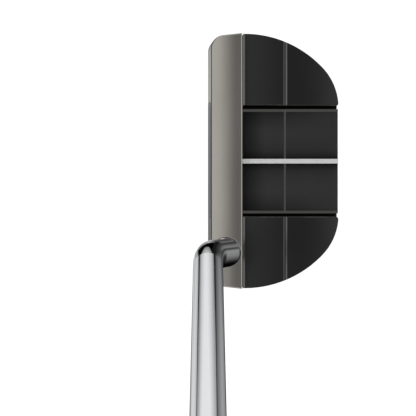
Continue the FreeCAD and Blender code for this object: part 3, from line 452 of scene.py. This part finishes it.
# Black arch under the panel: its lower edge rises to a crown, its side leans, its tail end fades.
ARCH_CROWN = (-12.0, -70.8)
ARCH_SLOPE = -0.05
ARCH_STEP = (-1.5, 1.5)
ARCH_LEAN_DIP = -57.0
ARCH_LEAN = 0.4
ARCH_START_STEP = (-43.0, -40.0)
ARCH_END_STEP = (26.0, 17.0)
# Brightness beside the panel, against the height above a line that sinks toward the tail.
SHADE_POINT = (42.0, -60.0)
SHADE_SINK = 0.39
SHADE = (
    (-20, 0.15), (-10, 0.20), (-5, 0.20), (-3, 0.16), (-1.5, 0.33), (0, 0.60), (2, 0.90),
    (4, 1.00), (20, 1.00),
)
SHADE_START_STEP = (16.0, 24.0)
SHADE_END_STEP = (84.0, 74.0)
# Where that shade is lifted again: near the floor, and well under the line toward the tail.
LIFT_DIP_STEP = (-75.0, -79.0)
LIFT_BEARING_STEP = (45.0, 36.0)
PART_LIFT = 0.4
PART_LIFT_STEP = (-3.8, -6.5)
PART_LIFT_BEARING_STEP = (46.0, 66.0)
# Darker floor toward the tail, and a darker patch of it toward the face.
TAIL_DIMMING = 0.88
TAIL_DIP_STEP = (-73.0, -79.0)
TAIL_BEARING_STEP = (60.0, 95.0)
FACE_DIMMING = 0.45
FACE_DIP_STEPS = ((-65.0, -70.0), (-83.0, -79.0))
FACE_BEARING_STEPS = ((-5.0, -15.0), (-76.0, -62.0))
# Brightness outside the panel at each bearing.
AROUND = (
    (-180, 0.01), (-150, 0.10), (-120, 0.30), (-86, 0.33), (-74, 0.80), (-56, 0.76),
    (-44, 0.52), (-25, 0.60), (-12, 0.62), (0, 0.40), (13, 0.14), (22, 0.07), (30, 0.06),
    (34, 0.11), (38, 0.17), (46, 0.27), (55, 0.36), (62, 0.41), (70, 0.35), (80, 0.31),
    (90, 0.29), (103, 0.25), (111, 0.19), (120, 0.12), (128, 0.06), (137, 0.012), (180, 0.01),
)


class Sky:
    """Small wrapper that builds the world's node graph out of numbers."""

    def __init__(self, name):
        world = bpy.data.worlds.new(name)
        scene.world = world
        world.use_nodes = True
        self.tree = world.node_tree
        self.tree.nodes.clear()

    def add(self, kind, **settings):
        node = self.tree.nodes.new(kind)
        for key, value in settings.items():
            setattr(node, key, value)
        return node

    def number(self, operation, *values):
        node = self.add("ShaderNodeMath", operation=operation)
        for index, value in enumerate(values):
            if isinstance(value, float):
                node.inputs[index].default_value = value
            else:
                self.tree.links.new(value, node.inputs[index])
        return node.outputs[0]

    def smooth(self, value, start, end):
        """Smooth step from 0 at start to 1 at end."""
        step = self.add("ShaderNodeMapRange", interpolation_type="SMOOTHSTEP")
        step.inputs["From Min"].default_value = start
        step.inputs["From Max"].default_value = end
        self.tree.links.new(value, step.inputs["Value"])
        return step.outputs["Result"]

    def curve(self, value, stops, low, high):
        """Piecewise-linear function of a value between low and high."""
        place = self.add("ShaderNodeMapRange")
        place.inputs["From Min"].default_value = low
        place.inputs["From Max"].default_value = high
        self.tree.links.new(value, place.inputs["Value"])
        ramp = self.add("ShaderNodeValToRGB")
        elements = ramp.color_ramp.elements
        while len(elements) < len(stops):
            elements.new(0.5)
        for element, (at, level) in zip(elements, stops):
            element.position = (at - low) / (high - low)
            element.color = (level, level, level, 1.0)
        self.tree.links.new(place.outputs["Result"], ramp.inputs["Fac"])
        return ramp.outputs["Color"]

    def product(self, *values):
        total = values[0]
        for value in values[1:]:
            total = self.number("MULTIPLY", total, value)
        return total

    def without(self, amount, *places):
        """One, less an amount where all the places are one."""
        return self.number("SUBTRACT", 1.0, self.number("MULTIPLY", self.product(*places), amount))

    def mix(self, factor, first, second):
        """Mixed from first to second; second is an output or one even level."""
        node = self.add("ShaderNodeMix", data_type="RGBA")
        self.tree.links.new(factor, node.inputs[0])
        self.tree.links.new(first, node.inputs[6])
        if isinstance(second, float):
            node.inputs[7].default_value = (second, second, second, 1.0)
        else:
            self.tree.links.new(second, node.inputs[7])
        return node.outputs[2]

    def direction(self):
        coords = self.add("ShaderNodeTexCoord")
        split = self.add("ShaderNodeSeparateXYZ")
        self.tree.links.new(coords.outputs["Generated"], split.inputs["Vector"])
        return split.outputs

    def shine(self, colour):
        background = self.add("ShaderNodeBackground")
        self.tree.links.new(colour, background.inputs["Color"])
        background.inputs["Strength"].default_value = 1.0
        out = self.add("ShaderNodeOutputWorld")
        self.tree.links.new(background.outputs[0], out.inputs["Surface"])


def upper_light(sky, x, y, z):
    """Soft light over the object, by its place between the face side and the tail side."""
    height = sky.number("ADD", sky.number("MULTIPLY", y, y), sky.number("MULTIPLY", z, z))
    upright = sky.number("MAXIMUM", sky.number("SQRT", height), 0.001)
    over = sky.curve(sky.number("DIVIDE", y, upright), OVERHEAD, -1.0, 1.0)
    return sky.mix(sky.smooth(sky.number("ABSOLUTE", x), *SIDE_STEP), over, SIDE_LEVEL)


def beside_panel(sky, bearing, dip):
    """Soft gradient round the panel, shaded beside it and darker on the floor."""
    sunk = sky.number("MULTIPLY", sky.number("SUBTRACT", bearing, SHADE_POINT[0]), SHADE_SINK)
    height = sky.number("ADD", sky.number("SUBTRACT", dip, SHADE_POINT[1]), sunk)
    dimmed = sky.product(
        sky.number("SUBTRACT", 1.0, sky.curve(height, SHADE, -20.0, 20.0)),
        sky.without(PART_LIFT, sky.smooth(height, *PART_LIFT_STEP),
                    sky.smooth(bearing, *PART_LIFT_BEARING_STEP)),
    )
    lifted = sky.without(1.0, sky.smooth(dip, *LIFT_DIP_STEP),
                         sky.smooth(bearing, *LIFT_BEARING_STEP))
    face_patch = [sky.smooth(dip, *step) for step in FACE_DIP_STEPS]
    face_patch += [sky.smooth(bearing, *step) for step in FACE_BEARING_STEPS]
    return sky.product(
        sky.curve(bearing, AROUND, -180.0, 180.0),
        sky.without(TAIL_DIMMING, sky.smooth(dip, *TAIL_DIP_STEP),
                    sky.smooth(bearing, *TAIL_BEARING_STEP)),
        sky.without(FACE_DIMMING, *face_patch),
        sky.without(1.0, dimmed, sky.smooth(bearing, *SHADE_START_STEP),
                    sky.smooth(bearing, *SHADE_END_STEP), lifted),
    )


def black_arch(sky, bearing, dip, past):
    """Zero in the black arch just under the panel, one elsewhere."""
    off_crown = sky.number("ABSOLUTE", sky.number("SUBTRACT", bearing, ARCH_CROWN[0]))
    edge = sky.number("ADD", sky.number("MULTIPLY", off_crown, ARCH_SLOPE), ARCH_CROWN[1])
    lean = sky.number("MULTIPLY", sky.number("SUBTRACT", dip, ARCH_LEAN_DIP), ARCH_LEAN)
    leaned = sky.number("SUBTRACT", bearing, lean)
    return sky.without(
        1.0, past, sky.smooth(sky.number("SUBTRACT", dip, edge), *ARCH_STEP),
        sky.smooth(leaned, *ARCH_START_STEP), sky.smooth(bearing, *ARCH_END_STEP),
    )


def lower_light(sky, x, y, z):
    """Bright panel with its black frame, and the gradient round it."""
    degrees = 180.0 / math.pi
    turn = sky.number("ARCTAN2", y, sky.number("MULTIPLY", x, -1.0))
    bearing = sky.number("MULTIPLY", turn, degrees)
    dip = sky.number("MULTIPLY", sky.number("ARCSINE", z), degrees)
    foot = sky.number("MULTIPLY", sky.curve(bearing, PANEL_FOOT, -180.0, 180.0), -100.0)
    outside = sky.number("SUBTRACT", foot, dip)
    past = sky.smooth(outside, *EDGE_STEP)
    inner = sky.product(sky.curve(bearing, PANEL, -60.0, 60.0),
                        sky.curve(outside, PANEL_DEPTH, -40.0, 40.0),
                        sky.number("SUBTRACT", 1.0, past))
    outer = sky.product(beside_panel(sky, bearing, dip), past)
    frame_line = sky.smooth(sky.number("ABSOLUTE", outside), *FRAME_STEP)
    return sky.product(sky.number("ADD", inner, outer), frame_line,
                       black_arch(sky, bearing, dip, past))


def surround():
    """World light built from direction only: a soft studio with a few dark gaps."""
    sky = Sky("studio")
    x, y, z = sky.direction()
    over = upper_light(sky, x, y, z)
    under = lower_light(sky, x, y, z)
    sky.shine(sky.mix(sky.smooth(z, *HORIZON_STEP), under, over))


def camera():
    """Straight above the leading edge, toe at the top of the picture, face to the left."""
    data = bpy.data.cameras.new("camera")
    data.lens = LENS_MM
    data.sensor_width = SENSOR_MM
    data.clip_start = 0.02
    data.clip_end = 200.0
    eye = bpy.data.objects.new("camera", data)
    scene.collection.objects.link(eye)
    eye.location = (EYE_ASIDE, FACE_Y, EYE_HEIGHT)
    eye.rotation_euler = (0.0, 0.0, math.pi / 2)
    scene.camera = eye


pale_floor()
backdrop()
surround()
camera()
scene.view_settings.view_transform = "Standard"
scene.view_settings.look = "None"
